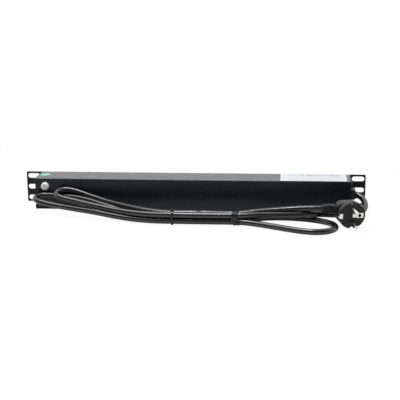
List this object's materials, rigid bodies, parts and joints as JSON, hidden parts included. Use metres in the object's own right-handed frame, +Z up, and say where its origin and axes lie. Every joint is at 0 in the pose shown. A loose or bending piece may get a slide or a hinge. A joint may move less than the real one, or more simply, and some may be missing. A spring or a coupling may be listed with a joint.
{
  "type": "rack power distribution unit",
  "caption": "Black 1U rack power strip with folded ears, a front row of turned earthed outlets, an earth screw on the rear face and a folded, tied supply cord with its plug.",
  "frame": {"origin": "middle of the unit's base, measured without the cord and its plug", "axes": "+X along the unit towards the cord's end, +Y out of the outlets, +Z up"},
  "size_m": [0.4831, 0.1574, 0.0439],
  "materials": {
    "black_anodised": "black anodised, satin",
    "bracket_paint": "black powder coat, fine texture",
    "black_screw": "blackened steel",
    "outlet_plastic": "moulded, satin",
    "rail_brass": "stamped strip",
    "insulator_sheet": "pale fibre sheet",
    "block_plastic": "moulded, ivory",
    "live_insulation": "brown insulation",
    "earth_insulation": "green and yellow insulation",
    "neutral_insulation": "blue insulation",
    "bushing_plastic": "moulded, satin",
    "plated_steel": "bright plated steel",
    "tinned_copper": "tinned",
    "label_film": "white satin film",
    "sticker_film": "pale green film",
    "cord_sheath": "black sheath, satin",
    "plug_plastic": "moulded, dark grey",
    "nickel_pin": "nickel-plated brass",
    "tie_plastic": "black, satin",
    "twist_film": "black, glossy film"
  },
  "bodies": {
    "root": {"housing_profile": "black_anodised", "left_bracket": "bracket_paint", "right_bracket": "bracket_paint", "left_end_screw_lower": "black_screw", "left_end_screw_upper": "black_screw", "right_end_screw_lower": "black_screw", "right_end_screw_upper": "black_screw", "outlet_1": "outlet_plastic", "outlet_2": "outlet_plastic", "outlet_3": "outlet_plastic", "outlet_4": "outlet_plastic", "outlet_5": "outlet_plastic", "outlet_6": "outlet_plastic", "outlet_7": "outlet_plastic", "outlet_8": "outlet_plastic", "left_filler": "outlet_plastic", "terminal_cover": "outlet_plastic", "live_rail": "rail_brass", "neutral_rail": "rail_brass", "rail_insulator": "insulator_sheet", "earth_rail": "rail_brass", "terminal_block": "block_plastic", "live_lead": "live_insulation", "earth_lead": "earth_insulation", "neutral_lead": "neutral_insulation", "cord_bushing": "bushing_plastic", "earth_screw": "plated_steel", "earth_washer": "plated_steel", "earth_ring_terminal": "tinned_copper", "earth_nut": "plated_steel", "earth_bond_lead": "earth_insulation", "rating_label": "label_film", "inspection_sticker": "sticker_film", "supply_cord": "cord_sheath", "plug_body": "plug_plastic", "plug_pin_upper": "nickel_pin", "plug_pin_lower": "nickel_pin", "plug_earth_strap": "nickel_pin", "cable_tie": "tie_plastic", "twist_tie": "twist_film"}
  },
  "joints": []
}
